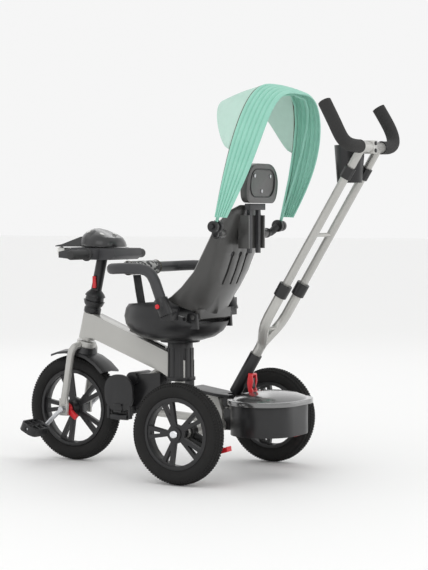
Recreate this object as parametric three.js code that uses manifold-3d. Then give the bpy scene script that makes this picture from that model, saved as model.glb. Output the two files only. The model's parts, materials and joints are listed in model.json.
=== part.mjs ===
// Children's push tricycle, in millimetres, +Z up, front towards -Y, rider's left towards +X.
// Every sub-part is one closed solid; moving groups are joined in the record.
import * as THREE from 'three';
import { mergeVertices } from 'three/addons/utils/BufferGeometryUtils.js';
import Module from 'manifold-3d';

// ---- driving dimensions -------------------------------------------------
const TRACK = 476;            // between the rear wheel centre planes
const WHEELBASE = 479;        // rear axle to front axle
const REAR_R = 127;           // rear tyre radius
const FRONT_R = 142.5;        // front tyre radius
const TYRE_W = 44;            // tyre section width
const REAR_RIM_R = 90;        // rear rim radius, under the tyre
const FRONT_RIM_R = 104;      // front rim radius, under the tyre
const GAP = 0.4;              // clearance between pieces that touch
const AXLE_R = 6;             // rear axle rod
const AXLE_TUBE_R = 15;       // frame tube around the rear axle
const RAKE = 13;              // head tube lean, degrees back from vertical
const HEAD_Y = -432;          // head tube mid point
const HEAD_Z = 366;
const HEAD_LEN = 72;
const HEAD_R = 23;
const STEERER_R = 12;
const BALL_UP = 74;           // head tube mid to ball centre, along the steering axis
const BALL_R = 29;            // housing of the tilt joint
const BALL_IN = 25;           // ball inside it
const STEM_R = 14.5;
const BAR_Z = 560;            // handlebar height
const BAR_Y = -374;
const BAR_HALF = 172;         // handlebar centre to grip end
const FORK_X = 54;            // fork leg centre, each side
const FORK_R = 10;
const CRANK = 66;             // crank radius
const PEDAL_X = 122;          // pedal centre
const BEAM_W = 46;            // main beam width
const POST_Y = -143;          // seat post axis
const POST_R = 37;            // ribbed sleeve radius
const SEAT_BASE_Z = 333;      // top of the sleeve, the swivel plane
const HINGE_Y = -50;          // back hinge axis
const HINGE_Z = 404;
const HINGE_HALF = 78;        // half length of the hinge barrel
const BACK_HALF = 128;        // back half width
const PAN_HALF = 142;         // seat pan half width
const SIDE_X = 163;           // safety bar arm centre
const SAFETY_R = 14;
const PIVOT_Y = 62;           // canopy pivot axis
const PIVOT_Z = 636;
const HOOP_HALF = 172;        // canopy hoop half width
const HOOP_RISE = 362;        // canopy hoop height above its pivot
const HANDLE_TILT = 31.6;     // push handle lean, degrees back from vertical
const HANDLE_X = 46;          // push handle tube centre, each side
const TUBE_R = 10.5;          // sliding push tube
const YOKE_R = TUBE_R + 2.5;  // yoke tube around it
const SOCKET_R = YOKE_R + 3;  // socket around the yoke
const FOAM_R = TUBE_R + 6;    // foam horn
const BOX_HALF = 122;         // storage lid half width
const BOX_Y = 127;            // storage box centre
const BOX_DEPTH = 188;
const PEDAL_TILT = 25;

const D = Math.PI / 180;
const wasm = await Module();
wasm.setup();
const root = new THREE.Group();
root.name = 'tricycle';

// ---- solids -------------------------------------------------------------
const solid = (geo) => {
  const g = geo.clone();
  g.deleteAttribute('normal');
  g.deleteAttribute('uv');
  const m = mergeVertices(g, 1e-4);
  const tris = new Uint32Array(m.index.array);
  const vertProperties = new Float32Array(m.attributes.position.array);
  const build = () => new wasm.Manifold(new wasm.Mesh({ numProp: 3, vertProperties, triVerts: tris }));
  const body = build();
  if (body.volume() > 0) return body;
  for (let i = 0; i < tris.length; i += 3) [tris[i], tris[i + 1]] = [tris[i + 1], tris[i]];
  return build();
};
const geometry = (body) => {
  const mesh = body.getMesh();
  const g = new THREE.BufferGeometry();
  g.setAttribute('position', new THREE.BufferAttribute(new Float32Array(mesh.vertProperties), 3));
  g.setIndex(new THREE.BufferAttribute(new Uint32Array(mesh.triVerts), 1));
  g.computeVertexNormals();
  return g;
};
const join = (...list) => list.map(solid).reduce((a, b) => a.add(b));
const cut = (base, ...list) => list.map(solid).reduce((a, b) => a.subtract(b), base);

const move = (g, x, y, z) => g.translate(x, y, z);
const spin = (g, ax, deg) => {
  if (ax === 'x') return g.rotateX(deg * D);
  return ax === 'y' ? g.rotateY(deg * D) : g.rotateZ(deg * D);
};
const block = (w, d, h) => new THREE.BoxGeometry(w, d, h);
const rodX = (r, len, seg = 16) => spin(new THREE.CylinderGeometry(r, r, len, seg), 'z', 90);
const rodY = (r, len, seg = 14) => new THREE.CylinderGeometry(r, r, len, seg);
const rodZ = (r, len, seg = 16, r2 = r) => spin(new THREE.CylinderGeometry(r2, r, len, seg), 'x', 90);
// A turned piece about X or Z from [radius, distance] pairs that start and end on one closed outline.
const turned = (pts, seg, axis) => {
  const g = new THREE.LatheGeometry(pts.map(([r, h]) => new THREE.Vector2(r, h)), seg);
  if (axis === 'x') return spin(g, 'z', -90);
  return axis === 'z' ? spin(g, 'x', 90) : g;
};
const ringSection = (outline, seg, axis) => turned([...outline, outline[0]], seg, axis);
const vec = (p) => new THREE.Vector3(p[0], p[1], p[2]);
// Closed strip: a loop of rows joined side by side, capped at both ends of the rows.
const loft = (rows) => {
  const m = rows.length;
  const n = rows[0].length;
  const idx = [];
  for (let j = 0; j < m; j++) {
    const k = (j + 1) % m;
    for (let i = 0; i < n - 1; i++) {
      const a = j * n + i;
      const b = k * n + i;
      idx.push(a, a + 1, b + 1, a, b + 1, b);
    }
  }
  // each end closes as a strip between the two halves of the ring, so a C-shaped ring closes on its own wall
  for (let j = 0, k = m - 1; j + 1 < k; j++, k--) {
    const near = j + 1 < k - 1 ? [[j, j + 1, k - 1], [j, k - 1, k]] : [[j, j + 1, k]];
    for (const [a, b, c] of near) {
      idx.push(a * n, b * n, c * n);
      idx.push(a * n + n - 1, c * n + n - 1, b * n + n - 1);
    }
  }
  const g = new THREE.BufferGeometry();
  g.setAttribute('position', new THREE.BufferAttribute(new Float32Array(rows.flat(2)), 3));
  g.setIndex(idx);
  return g;
};
// Straight runs joined by round bends, as a list of path points.
const bends = (pts, bend, steps) => {
  const p = pts.map(vec);
  const path = [p[0]];
  for (let i = 1; i < p.length - 1; i++) {
    const a = p[i - 1].clone().sub(p[i]);
    const b = p[i + 1].clone().sub(p[i]);
    const trim = Math.min(bend, a.length() / 2, b.length() / 2);
    const from = p[i].clone().addScaledVector(a.normalize(), trim);
    const to = p[i].clone().addScaledVector(b.normalize(), trim);
    const arc = new THREE.QuadraticBezierCurve3(from, p[i], to);
    path.push(...arc.getPoints(steps));
  }
  path.push(p[p.length - 1]);
  return path.filter((q, i) => i === 0 || q.distanceTo(path[i - 1]) > 0.5);
};
// Solid rod swept along that path; each ring stands square to the path.
const pipe = (pts, r, bend = 30, steps = 4, seg = 14) => {
  const path = bends(pts, bend, steps);
  const rows = Array.from({ length: seg }, () => []);
  const t0 = path[1].clone().sub(path[0]).normalize();
  let u = new THREE.Vector3(0.31, 0.17, 0.93).cross(t0).normalize();
  path.forEach((q, i) => {
    const a = path[Math.max(i - 1, 0)];
    const b = path[Math.min(i + 1, path.length - 1)];
    const t = b.clone().sub(a).normalize();
    u = u.clone().addScaledVector(t, -u.dot(t)).normalize();
    const v = t.clone().cross(u);
    for (let k = 0; k < seg; k++) {
      const w = 2 * Math.PI * k / seg;
      const c = q.clone().addScaledVector(u, r * Math.cos(w)).addScaledVector(v, r * Math.sin(w));
      rows[k].push([c.x, c.y, c.z]);
    }
  });
  return loft(rows);
};
// Rounded rectangle w x h, centred.
const pad = (w, h, r) => {
  const s = new THREE.Shape();
  s.moveTo(w / 2, -h / 2 + r);
  s.lineTo(w / 2, h / 2 - r);
  s.absarc(w / 2 - r, h / 2 - r, r, 0, Math.PI / 2, false);
  s.lineTo(-w / 2 + r, h / 2);
  s.absarc(-w / 2 + r, h / 2 - r, r, Math.PI / 2, Math.PI, false);
  s.lineTo(-w / 2, -h / 2 + r);
  s.absarc(-w / 2 + r, -h / 2 + r, r, Math.PI, 1.5 * Math.PI, false);
  s.lineTo(w / 2 - r, -h / 2);
  s.absarc(w / 2 - r, -h / 2 + r, r, 1.5 * Math.PI, 2 * Math.PI, false);
  return s;
};
const outline = (pts) => new THREE.Shape(pts.map(([x, y]) => new THREE.Vector2(x, y)));
const slab = (shape, depth, seg = 5) => {
  const g = new THREE.ExtrudeGeometry(shape, { depth, bevelEnabled: false, curveSegments: seg });
  return move(g, 0, 0, -depth / 2);
};
// Side outline given as [y, z], extruded across X and centred on x = 0.
const side = (pts, width) => {
  const g = slab(outline(pts), width);
  return spin(spin(g, 'x', 90), 'z', 90);
};
const skin = (color, roughness, metalness = 0) => new THREE.MeshStandardMaterial({ color, roughness, metalness });
const part = (name, body, material) => {
  const g = geometry(body.simplify(0.15));
  const m = new THREE.Mesh(g, material);
  m.name = name;
  root.add(m);
};

const SILVER = 0xcfcdc4;
const BLACK = 0x26272a;
const RUBBER = 0x1b1b1c;
const GREY = 0x55565a;
const RED = 0xd1202a;
const STEEL = 0xb9bcc0;
const MINT = 0x9be3cf;

// steering axis: a point d along it from the head tube middle
const steer = (d) => [0, HEAD_Y + d * Math.sin(RAKE * D), HEAD_Z + d * Math.cos(RAKE * D)];
const onSteer = (g, d) => {
  spin(g, 'x', -RAKE);
  return move(g, ...steer(d));
};

// ---- frame --------------------------------------------------------------
const BEAM = [
  [-436, 400], [-405, 398], [-190, 315], [-114, 286], [-114, 214], [-16, 200], [-2, 160], [-2, 112],
  [-30, 112], [-60, 164], [-130, 222], [-190, 254], [-408, 334], [-444, 336],
];
const STRUT = [[0, -196, 262], [0, -284, 206], [0, -286, 148], [0, -4, 132]];
const TAIL = [[0, -6, 132], [0, 26, 182]];

function frame() {
  const head = onSteer(rodZ(HEAD_R, HEAD_LEN, 24, HEAD_R - 1), 0);
  const beam = side(BEAM, BEAM_W);
  const axle = rodX(AXLE_TUBE_R, TRACK - TYRE_W - 12, 20);
  move(axle, 0, 0, REAR_R);
  const strut = pipe(STRUT, 11, 40, 3, 10);
  const rear = pipe(TAIL, 14, 10, 2, 12);
  let body = join(head, beam, axle, strut, rear);
  body = cut(body, onSteer(rodZ(STEERER_R + GAP, HEAD_LEN + 60, 24), 0));
  const bore = move(rodX(AXLE_R + GAP, TRACK, 20), 0, 0, REAR_R);
  body = cut(body, bore);
  part('frame_main', body, skin(SILVER, 0.32, 0.55));
}

function rearAxle() {
  part('rear_axle', solid(move(rodX(AXLE_R, TRACK + TYRE_W + 6, 16), 0, 0, REAR_R)), skin(STEEL, 0.3, 0.9));
}

// Black deck moulding over the frame tail, in front of the handle socket.
function deckCover() {
  const plate = side([[-98, 212.3], [-98, 220], [-16, 208], [28, 205], [28, 198], [-15, 200.6]], 78);
  const foot = side([[-1, 202], [26, 200], [26, 184], [6, 172], [-1, 180]], 40);
  const under = side([[-120, 215.3], [-113.6, 214.4], [-15.6, 200.4], [-1.6, 160.4], [-1.6, 100], [-200, 100]], BEAM_W + 2 * GAP);
  part('deck_cover', cut(join(plate, foot), under, pipe(TAIL, 14 + GAP, 10, 2, 12),
    handleRod(SOCKET_R + GAP, -30, 90)), skin(BLACK, 0.5));
}

// ---- push handle --------------------------------------------------------
const HANDLE0 = [0, 24, 210];
const handleAt = (d, x = 0) => [x, HANDLE0[1] + d * Math.sin(HANDLE_TILT * D), HANDLE0[2] + d * Math.cos(HANDLE_TILT * D)];
const handleRod = (r, from, to, x = 0, seg = 14) => {
  const g = rodZ(r, to - from, seg);
  spin(g, 'x', -HANDLE_TILT);
  return move(g, ...handleAt((from + to) / 2, x));
};
const SOCKET_END = 118;
const YOKE_START = 60;
const SPLIT = 178;
const YOKE_END = 322;
const TUBE_END = 728;

function handleSocket() {
  const cup = handleRod(SOCKET_R, 0, SOCKET_END);
  const ear = move(block(14, 26, 26), 0, 66, 236);
  const body = cut(join(cup, ear), handleRod(YOKE_R + GAP, YOKE_START - GAP, SOCKET_END + 10),
    move(rodX(3.4, 40, 10), 0, 72, 240));
  part('handle_socket', body, skin(BLACK, 0.42, 0.2));
}

function handleYoke() {
  const stub = handleRod(YOKE_R, YOKE_START, SPLIT - 20, 0, 10);
  const leg = (s) => pipe([handleAt(SPLIT - 34, 0), handleAt(SPLIT - 22, s * 3), handleAt(SPLIT + 34, s * HANDLE_X),
    handleAt(YOKE_END, s * HANDLE_X)], YOKE_R, 26, 2, 10);
  const bore = (s) => handleRod(TUBE_R + GAP, SPLIT + 58, YOKE_END + 8, s * HANDLE_X, 12);
  const peg = move(rodX(5, 60, 10), ...handleAt(SPLIT + 18));
  const body = cut(join(stub, leg(1), leg(-1), peg), bore(1), bore(-1));
  part('handle_yoke', body, skin(SILVER, 0.32, 0.55));
}

function handleCollars() {
  for (const [s, n] of [[1, 'left'], [-1, 'right']]) {
    const c = handleRod(YOKE_R + 4, YOKE_END - 26, YOKE_END + 8, s * HANDLE_X);
    const inner = handleRod(YOKE_R + GAP, YOKE_END - 27, YOKE_END + GAP, s * HANDLE_X);
    const through = handleRod(TUBE_R + GAP, YOKE_END - 2, YOKE_END + 12, s * HANDLE_X, 12);
    part(`handle_collar_${n}`, cut(solid(c), inner, through), skin(BLACK, 0.5));
  }
}

function handleTubes() {
  const tube = (s) => handleRod(TUBE_R, SPLIT + 106, TUBE_END, s * HANDLE_X, 12);
  const rungAt = handleAt(476);
  const rung = move(rodX(5, 2 * HANDLE_X, 10), ...rungAt);
  const top = move(rodX(13.5, 2 * HANDLE_X + 34, 18), ...handleAt(TUBE_END));
  const lug = move(block(22, 28, 32), ...handleAt(TUBE_END));
  part('handle_tubes', join(tube(1), tube(-1), rung, top, lug), skin(SILVER, 0.3, 0.6));
}

const TOP = handleAt(TUBE_END);
const horn = (s) => [[s * (HANDLE_X + 17.6), TOP[1], TOP[2]], [s * 104, TOP[1], TOP[2]],
  [s * 152, TOP[1] - 6, TOP[2] + 34], [s * 148, TOP[1] - 50, TOP[2] + 104]];
function handleGrips() {
  for (const [s, n] of [[1, 'left'], [-1, 'right']]) {
    part(`handle_grip_${n}`, solid(pipe(horn(s), FOAM_R, 46, 4, 12)), skin(GREY, 0.9));
  }
}

// Open cup holder hung in front of the two tubes.
const CUP = [0, 349, 790];
function cupHolder() {
  const g = (r, top, base) => turned([[0, base], [r - 7, base], [r, top], [0, top]], 18, 'z');
  const outer = move(g(38, 46, -46), ...CUP);
  const inner = move(g(35, 56, -43), ...CUP);
  const arm = (s) => move(block(16, 12, 18), s * 34, CUP[1] + 14, CUP[2] - 22);
  const grab = (s) => handleRod(TUBE_R + 4, 640, 670, s * HANDLE_X, 10);
  const body = cut(join(outer, arm(1), arm(-1), grab(1), grab(-1)), inner,
    handleRod(TUBE_R + GAP, 630, 680, HANDLE_X, 12), handleRod(TUBE_R + GAP, 630, 680, -HANDLE_X, 12));
  part('cup_holder', body, skin(BLACK, 0.55));
}

// Red latch lever on the back of the socket, forked over its ear.
function releaseLever() {
  const pts = [[70, 262], [80, 260], [82, 240], [78, 226], [84, 212], [80, 204], [70, 214], [66, 236]];
  const ear = move(block(14 + 2 * GAP, 40, 40), 0, 62, 236);
  part('release_lever', cut(solid(side(pts, 26)), ear, handleRod(SOCKET_R + GAP, 0, 100)), skin(RED, 0.4));
}

// ---- storage box --------------------------------------------------------
function roundBox(w, d, h, r, z0) {
  const g = slab(pad(w, d, r), h, 5);
  return move(g, 0, BOX_Y - 3, z0 + h / 2);
}
function storage() {
  const w = 2 * BOX_HALF - 24;
  const d = BOX_DEPTH - 18;
  const outer = roundBox(w, d, 77, 82, 110);
  const inner = roundBox(w - 8, d - 8, 80, 78, 114);
  const neck = move(block(60, 46, 54), 0, 30, 142);
  const body = cut(cut(join(outer, neck), inner), move(rodX(AXLE_TUBE_R + GAP, 400, 20), 0, 0, REAR_R),
    pipe(TAIL, 14 + GAP, 10, 2, 12), side(BEAM, BEAM_W + 2 * GAP));
  part('storage_tub', body, skin(0x2f3032, 0.5));
  const rim = move(roundBox(2 * BOX_HALF, BOX_DEPTH, 12, 90, 187.5), 0, 3, 0);
  const cap = spin(new THREE.SphereGeometry(1, 26, 8), 'x', 90);
  cap.scale(BOX_HALF - 3, BOX_DEPTH / 2 - 3, 26);
  move(cap, 0, BOX_Y, 194);
  const under = move(block(400, 400, 40), 0, BOX_Y, 167.5);
  const well = handleRod(SOCKET_R + 8, -40, 120);
  const lid = cut(join(rim, cap), under, well, move(block(96, 30, 60), 0, 38, 210), move(block(40, 76, 60), 0, 66, 210));
  part('storage_lid', lid, skin(0x3a3b3d, 0.3));
}

// ---- seat post and brakes -----------------------------------------------
function postSleeve() {
  const core = move(rodZ(POST_R - 3, SEAT_BASE_Z - 232, 24, POST_R - 4), 0, POST_Y, (SEAT_BASE_Z + 232) / 2);
  let body = solid(core);
  for (let i = 0; i < 12; i++) {
    const rib = move(block(5, 5, SEAT_BASE_Z - 250), POST_R - 4, 0, (SEAT_BASE_Z + 232) / 2 - 6);
    spin(rib, 'z', i * 30);
    body = body.add(solid(move(rib, 0, POST_Y, 0)));
  }
  const lip = move(rodZ(POST_R + 3, 8, 24), 0, POST_Y, 238);
  body = body.add(solid(lip));
  body = cut(body, side(BEAM.map(([y, z]) => [y < -113 && y > -115 ? y + GAP : y, z]), BEAM_W + 2 * GAP));
  body = cut(body, move(side([[-300, 200], [-300, 300], [-190, 260], [-114, 228], [-114, 200]], BEAM_W + 2 * GAP), 0, 0, 0));
  part('seat_post', body, skin(BLACK, 0.5));
}

function brakes() {
  for (const [s, n] of [[1, 'left'], [-1, 'right']]) {
    const x = s * 189;
    const lever = [[10, -11], [60, -31], [104, -35], [116, -29], [118, -41], [100, -47], [56, -43], [4, -23]]
      .map(([y, z]) => [y, REAR_R + z]);
    const web = [[20, 1], [60, -19], [60, -35], [14, -21]].map(([y, z]) => [y, REAR_R + z]);
    const hub = move(rodX(AXLE_TUBE_R + 6, 26, 20), x, 0, REAR_R);
    const arm = move(side(lever, 22), x, 0, 0);
    const shoe = move(side(web, 8), x, 0, 0);
    const body = cut(join(hub, arm, shoe), move(rodX(AXLE_TUBE_R + GAP, 80, 20), x, 0, REAR_R));
    part(`brake_pedal_${n}`, body, skin(RED, 0.45));
  }
}

// ---- wheels -------------------------------------------------------------
// Squarish tyre: flat tread, rounded shoulders, seated on the rim barrel.
function tyre(name, R, rimR, x, y, z) {
  const h = TYRE_W / 2;
  const o = [[rimR + GAP, h - 6], [rimR + 9, h], [R - 11, h], [R, h - 12],
    [R, -h + 12], [R - 11, -h], [rimR + 9, -h], [rimR + GAP, -h + 6]];
  part(name, solid(move(ringSection(o, 32, 'x'), x, y, z)), skin(RUBBER, 0.92));
}

// Five paired spokes between hub and rim barrel; the web sits towards the outer face.
function rim(name, rimR, bore, face, set, place) {
  const disc = new THREE.Shape();
  const at = (r, a) => [r * Math.cos(a), r * Math.sin(a)];
  for (let i = 0; i < 5; i++) disc.absarc(0, 0, rimR - 5, i * 72 * D, (i + 1) * 72 * D, false);
  const inner = 0.27 * rimR;
  const outer = rimR - 11;
  for (let i = 0; i < 5; i++) {
    const mid = (i * 72 + 18) * D;
    const hole = new THREE.Path();
    hole.absarc(0, 0, outer, mid - 0.42, mid + 0.42, false);
    hole.lineTo(...at(inner, mid + 0.34));
    hole.lineTo(...at(inner, mid - 0.34));
    hole.closePath();
    disc.holes.push(hole);
    const slot = new THREE.Path();
    const c = mid + 36 * D;
    slot.moveTo(...at(outer - 4, c - 0.075));
    slot.lineTo(...at(outer - 4, c + 0.075));
    slot.lineTo(...at(0.5 * rimR, c + 0.03));
    slot.lineTo(...at(0.5 * rimR, c - 0.03));
    slot.closePath();
    disc.holes.push(slot);
  }
  const web = spin(slab(disc, 12, 2), 'y', 90);
  const h = TYRE_W / 2 - 5;
  const barrel = ringSection([[rimR, h - 1.5], [rimR - 9, h], [rimR - 9, -h], [rimR, -h + 1.5]], 32, 'x');
  const hub = rodX(0.2 * rimR, face, 16);
  const body = cut(join(move(web, set, 0, 0), barrel, hub), rodX(bore, 120, 20));
  part(name, body.translate(place), skin(BLACK, 0.5));
}

function rearWheels() {
  for (const [s, n] of [[1, 'left'], [-1, 'right']]) {
    const x = s * TRACK / 2;
    tyre(`rear_tyre_${n}`, REAR_R, REAR_RIM_R, x, 0, REAR_R);
    rim(`rear_rim_${n}`, REAR_RIM_R, AXLE_R + GAP, 36, s * 7, [x, 0, REAR_R]);
    const cap = turned([[0, 0], [11, 0], [11, 4], [8, 8], [0, 10]], 20, 'x');
    const pin = move(rodX(AXLE_R + GAP, 9, 16), 2.6, 0, 0);
    const c = cut(solid(cap), pin);
    const placed = s > 0 ? c : c.mirror([1, 0, 0]);
    part(`hub_cap_${n}`, placed.translate([s * (TRACK / 2 + 18 + GAP), 0, REAR_R]), skin(0xd8dadd, 0.12, 1));
  }
}

// ---- front end ----------------------------------------------------------
const FRONT_Y = -WHEELBASE;
const forkLeg = (s) => [[s * 8, -446, 316], [s * FORK_X, -452, 312], [s * FORK_X, FRONT_Y, 158]];
function fork() {
  const steerer = onSteer(rodZ(STEERER_R, 105, 16), -5.5);
  const crown = onSteer(rodZ(26, 16, 24), -50);
  let body = join(steerer, crown);
  for (const s of [1, -1]) {
    const leg = pipe(forkLeg(s), FORK_R, 24, 3, 10);
    const lug = move(block(7, 26, 46), s * FORK_X, FRONT_Y, 148);
    body = body.add(solid(leg)).add(solid(lug));
    body = cut(body, move(rodX(8 + GAP, 30, 18), s * FORK_X, FRONT_Y, FRONT_R));
  }
  part('fork', body, skin(SILVER, 0.32, 0.5));
}

function mudguard() {
  const R = FRONT_R + 11;
  const shell = ringSection([[R - 4, 42], [R + 2, 38], [R + 7, 0], [R + 2, -38], [R - 4, -42], [R + 3, 0]], 30, 'x');
  move(shell, 0, FRONT_Y, FRONT_R);
  const keep = side([[FRONT_Y, FRONT_R], [FRONT_Y - 60, FRONT_R + 160], [-420, 360], [FRONT_Y + 156, FRONT_R + 138]], 100);
  const skirt = onSteer(turned([[0, -26], [46, -26], [36, -6], [30, 12], [0, 12]], 16, 'z'), -70);
  let body = solid(shell).intersect(solid(keep));
  body = body.add(solid(skirt));
  body = cut(body, onSteer(rodZ(26 + GAP, 17, 24), -50), onSteer(rodZ(STEERER_R + GAP, 160, 24), -10));
  const clear = move(rodX(FRONT_R + 5, 100, 36), 0, FRONT_Y, FRONT_R);
  body = cut(body, clear);
  for (const s of [1, -1]) {
    body = cut(body, pipe(forkLeg(s), FORK_R + 0.6, 24, 3, 10));
  }
  body = cut(body, onSteer(rodZ(60, 60, 24), -12));
  part('mudguard', body, skin(BLACK, 0.48));
}

function frontWheel() {
  tyre('front_tyre', FRONT_R, FRONT_RIM_R, 0, FRONT_Y, FRONT_R);
  rim('front_rim', FRONT_RIM_R, 8 + GAP, 62, 0, [0, FRONT_Y, FRONT_R]);
}

function cranks() {
  const drop = CRANK * Math.sin(45 * D);
  let body = solid(move(rodX(8, 2 * FORK_X + 34, 14), 0, FRONT_Y, FRONT_R));
  for (const s of [1, -1]) {
    const root0 = [s * (FORK_X + 12), FRONT_Y, FRONT_R];
    const tip = [s * (FORK_X + 22), FRONT_Y - s * drop, FRONT_R - s * drop];
    const arm = pipe([root0, [s * (FORK_X + 19), FRONT_Y - s * 20, FRONT_R - s * 20], tip], 6, 12, 1, 8);
    const boss = move(rodX(8, 14, 12), ...tip);
    const pin = move(rodX(4.5, PEDAL_X + 34 - FORK_X - 22, 12), s * (PEDAL_X + 34 + FORK_X + 22) / 2, tip[1], tip[2]);
    body = body.add(solid(arm)).add(solid(boss)).add(solid(pin));
  }
  part('crank', body, skin(STEEL, 0.25, 0.95));
  const knob = cut(join(move(rodX(15, 9, 20), FORK_X - 15, FRONT_Y, FRONT_R),
    spin(move(block(9, 34, 14), 0, 22, 0), 'x', -38).translate(FORK_X - 15, FRONT_Y, FRONT_R)),
    move(rodX(8 + GAP, 60, 18), FORK_X, FRONT_Y, FRONT_R));
  part('clutch_knob', knob, skin(RED, 0.4));
  for (const [s, n] of [[1, 'left'], [-1, 'right']]) {
    const y = FRONT_Y - s * drop;
    const z = FRONT_R - s * drop;
    const shell = slab(pad(76, 54, 18), 22, 4);
    const wells = [];
    for (const i of [-1, 0, 1]) for (const j of [-1, 1]) wells.push(move(block(15, 15, 10), i * 20, j * 14, 12));
    let p = cut(solid(shell), ...wells, rodX(4.5 + GAP, 120, 12));
    p = p.rotate([-s * PEDAL_TILT, 0, 0]).translate([s * PEDAL_X, y, z]);
    part(`pedal_${n}`, p, skin(BLACK, 0.55));
  }
}

// ---- handlebar ----------------------------------------------------------
function handlebar() {
  const ball = (r) => spin(new THREE.SphereGeometry(r, 18, 12), 'x', 90);
  const cup = turned([[0, -36], [23, -36], [23, -24], [20, -21], [BALL_R - 4, -15], [BALL_R, -4], [0, -4]], 18, 'z');
  const lower = cut(solid(onSteer(cup, BALL_UP)), onSteer(rodZ(STEERER_R + GAP, 80, 16), BALL_UP - 41),
    onSteer(ball(BALL_IN + 0.8), BALL_UP));
  part('headset_ball', lower, skin(BLACK, 0.45));
  const neck = turned([[0, 9], [BALL_R - 1, 9], [BALL_R - 5, 16], [STEM_R, 26], [STEM_R, 128], [0, 128]], 18, 'z');
  const cupT = join(onSteer(neck, BALL_UP), onSteer(ball(BALL_IN), BALL_UP));
  const pocket = move(block(6, 12, 36), STEM_R - 1.5, stemPt[1], stemPt[2]);
  part('stem', cut(cupT, pocket, move(rodX(9 + GAP, 80, 16), 0, BAR_Y, BAR_Z)), skin(BLACK, 0.4));
  part('stem_lever', solid(move(block(5, 10, 32), STEM_R + 1.6, stemPt[1], stemPt[2])), skin(RED, 0.4));
  const bar = move(rodX(9, 2 * BAR_HALF - 20, 16), 0, BAR_Y, BAR_Z);
  part('handlebar', solid(bar), skin(0x303134, 0.4, 0.4));
  for (const [s, n] of [[1, 'left'], [-1, 'right']]) {
    const grip = turned([[0, 0], [17, 0], [17, 5], [12.5, 7], [12.5, 74], [11, 78], [0, 79]], 20, 'x');
    move(grip, BAR_HALF - 79, 0, 0);
    const g = cut(solid(grip), rodX(9 + GAP, 2 * BAR_HALF - 16, 16));
    const placed = s > 0 ? g : g.mirror([1, 0, 0]);
    part(`grip_${n}`, placed.translate([0, BAR_Y, BAR_Z]), skin(0x2b2b2d, 0.85));
  }
}
const stemPt = steer(BALL_UP + 48);

// Play console over the bar: grey tray, black dial pod with hood, headlight nose.
function consoleUnit() {
  const tray = side([[-470, 546], [-320, 546], [-306, 556], [-310, 576], [-450, 578], [-500, 566], [-500, 550]], 132);
  const wings = move(slab(pad(176, 70, 30), 26, 5), 0, BAR_Y - 14, BAR_Z + 1);
  const trim = [];
  for (const s of [1, -1]) trim.push(spin(block(90, 120, 60), 'z', s * 24).translate(s * 96, -498, BAR_Z));
  let body = cut(join(tray, wings), ...trim);
  body = cut(body, move(rodX(9 + GAP, 400, 16), 0, BAR_Y, BAR_Z), onSteer(rodZ(STEM_R + GAP, 200, 24), 130));
  body = cut(body, move(block(400, 300, 30), 0, -400, 530.6));
  const split = move(block(400, 300, 40), 0, -400, 579 + 20);
  body = cut(body, split);
  part('console_tray', body, skin(GREY, 0.45));
  const pod = new THREE.SphereGeometry(1, 18, 9);
  pod.scale(64, 58, 44);
  spin(pod, 'x', -10);
  move(pod, 0, -382, 582);
  const hood = new THREE.SphereGeometry(1, 18, 9);
  hood.scale(58, 46, 40);
  move(hood, 0, -400, 590);
  const nose = side([[-400, 580], [-400, 612], [-440, 606], [-500, 586], [-522, 582], [-522, 579.5]], 64);
  let top = join(pod, hood, nose);
  top = cut(top, move(block(300, 400, 100), 0, -400, 529.4));
  const face = spin(rodZ(50, 60, 28), 'x', 0);
  face.scale(1, 0.84, 1);
  spin(face, 'x', -24);
  move(face, 0, -364, 644);
  top = cut(top, face);
  part('console_dial', top, skin(0x1d1e20, 0.25));
  const lens = turned([[0, 0], [13, 0], [15, 3], [12, 8], [0, 11]], 20, 'z');
  spin(lens, 'x', 90);
  move(lens, 0, -522.5, 566);
  part('headlight', join(lens, move(block(40, 22, 20), 0, -511.6, 566)), skin(0xe8e8e4, 0.2));
}

// ---- seat ---------------------------------------------------------------
// The safety bar stands in two sockets that lean forward; [y, z] of the socket floor.
const SOCKET = [-86, 422];
const SOCKET_LEAN = 22;
const socketAt = (d) => [SOCKET[0] - d * Math.sin(SOCKET_LEAN * D), SOCKET[1] + d * Math.cos(SOCKET_LEAN * D)];
const socketRod = (r, from, to, s) => {
  const g = spin(rodZ(r, to - from, 18), 'x', SOCKET_LEAN);
  return move(g, s * SIDE_X, ...socketAt((from + to) / 2));
};
const buttonAt = socketAt(14);
const PAN_Y = -152;
const PAN_LEN = 137;          // half length of the pan
const PAN_Z = 402;
// Ball with fuller sides, for the pan and its liner.
const bulge = (a, b) => {
  const g = spin(new THREE.SphereGeometry(1, a, b), 'x', 90);
  const p = g.attributes.position;
  for (let i = 0; i < p.count; i++) {
    const r = Math.hypot(p.getX(i), p.getY(i));
    const k = r > 1e-6 ? r ** 0.6 / r : 1;
    p.setXY(i, p.getX(i) * k, p.getY(i) * k);
  }
  return g;
};
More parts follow.
